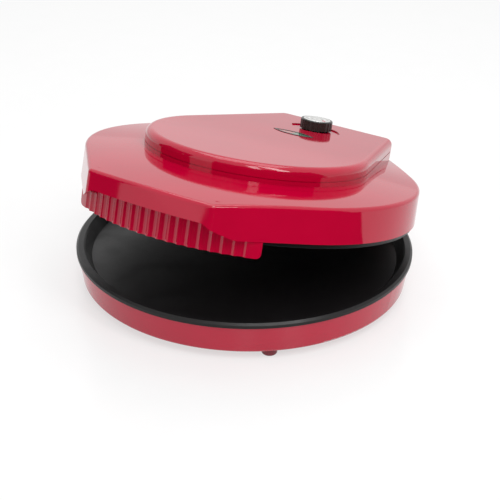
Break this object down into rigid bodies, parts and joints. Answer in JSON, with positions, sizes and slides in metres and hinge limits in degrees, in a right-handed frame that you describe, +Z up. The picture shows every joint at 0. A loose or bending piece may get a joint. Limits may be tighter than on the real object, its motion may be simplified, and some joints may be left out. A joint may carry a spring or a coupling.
{
  "type": "countertop pizza oven",
  "caption": "Round countertop pizza oven in glossy red plastic with cast cooking plates, a hinged lid with a ribbed grip, a thermostat dial and an indicator window.",
  "frame": {"origin": "on the table, under the middle of the oven's overall length and width, with the lid standing open as stored", "axes": "+X to the right of someone at the handle, +Y from the handle towards the hinge, +Z up"},
  "size_m": [0.34, 0.363, 0.1673],
  "materials": {
    "red_abs": "high-gloss moulded ABS in deep red",
    "nonstick_plate": "cast aluminium with a black non-stick coating",
    "element_steel": "heating tube, matt grey steel",
    "plated_steel": "zinc-plated steel",
    "reflector_sheet": "pressed aluminium sheet",
    "ceramic_body": "unglazed electrical ceramic",
    "black_rubber": "matt black rubber",
    "black_plastic": "satin black heat-resistant plastic",
    "knob_aluminium": "spun aluminium disc",
    "red_lens": "translucent red polycarbonate",
    "green_lens": "translucent green polycarbonate",
    "lamp_glass": "small neon lamp, clear glass",
    "brass": "plain brass"
  },
  "bodies": {
    "base": {"base_shell": "red_abs", "lower_plate": "nonstick_plate", "lower_plate_screws": "plated_steel", "lower_element": "element_steel", "lower_element_clips": "plated_steel", "lower_reflector": "reflector_sheet", "thermal_fuse": "ceramic_body", "terminal_block": "ceramic_body", "cord_gland": "black_rubber", "foot_screws": "plated_steel", "hinge_bracket": "red_abs", "hinge_bracket_screws": "plated_steel", "hinge_pin": "plated_steel", "hinge_pin_clips": "plated_steel", "foot_front_left": "black_rubber", "foot_front_right": "black_rubber", "foot_rear_left": "black_rubber", "foot_rear_right": "black_rubber"},
    "lid": {"lid_shell": "red_abs", "lid_hinge": "red_abs", "lid_hinge_screws": "plated_steel", "upper_plate": "nonstick_plate", "upper_plate_screws": "plated_steel", "upper_element": "element_steel", "upper_element_clips": "plated_steel", "upper_reflector": "reflector_sheet", "handle": "red_abs", "handle_screws": "plated_steel", "control_cover": "red_abs", "control_cover_screws": "plated_steel", "indicator_bezel": "red_abs", "red_lens": "red_lens", "green_lens": "green_lens", "lamp_holder": "black_plastic", "power_lamp": "lamp_glass", "ready_lamp": "lamp_glass", "thermostat": "plated_steel", "thermostat_nut": "brass"},
    "dial": {"control_knob": "black_plastic", "knob_cap": "knob_aluminium", "thermostat_shaft": "plated_steel"}
  },
  "joints": [
    {"name": "lid_swing", "type": "hinge", "parent": "base", "child": "lid", "pos_m": [0, 0.17147, 0.034], "axis": [-1, 0, 0], "range_deg": [-13.3, 76.7]},
    {"name": "dial_turn", "type": "hinge", "parent": "lid", "child": "dial", "pos_m": [0, 0.12787, 0.11562], "axis": [0, -0.23, -0.9732], "range_deg": [0, 270]}
  ]
}
